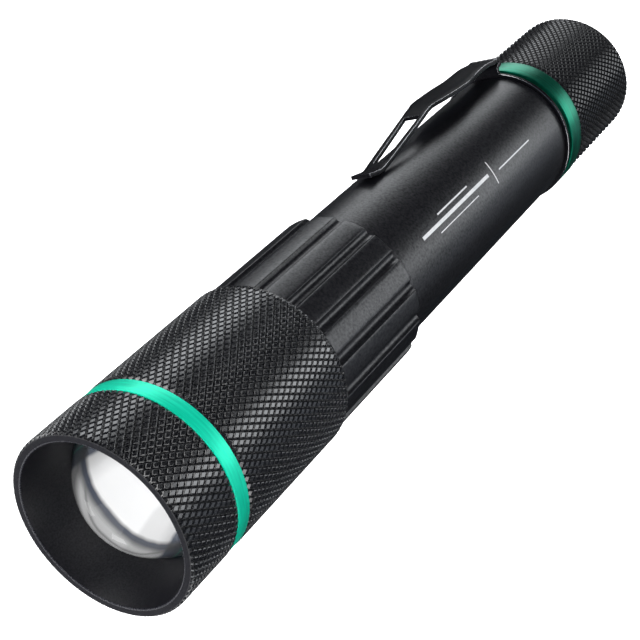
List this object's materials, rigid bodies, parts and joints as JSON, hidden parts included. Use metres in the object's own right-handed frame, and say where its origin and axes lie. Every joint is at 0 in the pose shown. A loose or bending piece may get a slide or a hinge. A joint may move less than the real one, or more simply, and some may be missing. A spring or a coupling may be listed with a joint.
{
  "type": "flashlight",
  "caption": "Pocket flashlight with a sliding focus head, knurled grips, a domed lens, a plain barrel, a spring-steel clip and a screw-on tail cap with a push switch.",
  "frame": {"origin": "centre of the tail cap's end rim, where the light stands on a flat surface", "axes": "+Z along the light from the tail to the lens, -Y towards the pocket clip, +X across it"},
  "size_m": [0.031, 0.0335, 0.1736],
  "materials": {
    "black_anodise": "satin black anodise",
    "green_anodise": "polished green anodise",
    "bare_aluminium": "machined",
    "black_spring_steel": "black oxide, satin",
    "plated_steel": "nickel plated",
    "spring_brass": "bright",
    "black_rubber": "matte",
    "clear_lens": "polished",
    "board_laminate": "solder mask",
    "black_plastic": "moulded",
    "white_plastic": "moulded",
    "cell_jacket": "plain printed jacket",
    "phosphor": "phosphor under a clear dome",
    "lead_insulation": "insulated wire"
  },
  "bodies": {
    "barrel": {"barrel": "black_anodise", "stop_ring": "plated_steel", "focus_orings": "black_rubber", "tail_oring": "black_rubber", "lock_collar": "green_anodise", "clip_washer": "black_rubber", "clip_band": "black_spring_steel", "led_pill": "bare_aluminium", "led_board": "bare_aluminium", "led_board_screws": "plated_steel", "led_emitter": "phosphor", "led_leads": "lead_insulation", "driver_board": "board_laminate", "front_spring": "spring_brass", "carrier_frame": "black_plastic", "carrier_contacts": "plated_steel", "aaa_cells": "cell_jacket"},
    "head": {"head_grip": "black_anodise", "head_trim_ring": "green_anodise", "bezel": "black_anodise", "bezel_oring": "black_rubber", "lens": "clear_lens", "lens_seal": "black_rubber", "lens_retainer": "black_anodise"},
    "cap_carriage": {"spring_washer": "spring_brass", "tail_spring": "spring_brass"},
    "tail_cap": {"tail_cap": "black_anodise", "switch_spacer": "black_plastic", "switch_housing": "white_plastic", "switch_board": "board_laminate", "switch_retainer": "bare_aluminium"},
    "button": {"switch_plunger": "white_plastic", "switch_boot": "black_rubber"},
    "clip_arm": {"clip_arm": "black_spring_steel"}
  },
  "joints": [
    {"name": "head_focus", "type": "slide", "parent": "barrel", "child": "head", "axis": [0, 0, 1], "range_m": [0, 0.009]},
    {"name": "cap_advance", "type": "slide", "parent": "barrel", "child": "cap_carriage", "axis": [0, 0, -1], "range_m": [0, 0.0144]},
    {"name": "cap_turn", "type": "hinge", "parent": "cap_carriage", "child": "tail_cap", "pos_m": [0, 0, 0.014], "axis": [0, 0, -1], "range_deg": [0, 4140]},
    {"name": "switch_press", "type": "slide", "parent": "tail_cap", "child": "button", "axis": [0, 0, 1], "range_m": [0, 0.0016], "stiffness_N_per_m": 3000, "springref_m": -0.0008, "deforming": ["switch_boot"]},
    {"name": "clip_flex", "type": "hinge", "parent": "barrel", "child": "clip_arm", "pos_m": [0, -0.01642, 0.03488], "axis": [1, 0, 0], "range_deg": [0, 5], "stiffness_Nm_per_rad": 5.4, "springref_deg": -1.15}
  ],
  "couplings": [
    {"joint": "cap_advance", "follows": "cap_turn", "m_per_rad": 0.00019894}
  ]
}
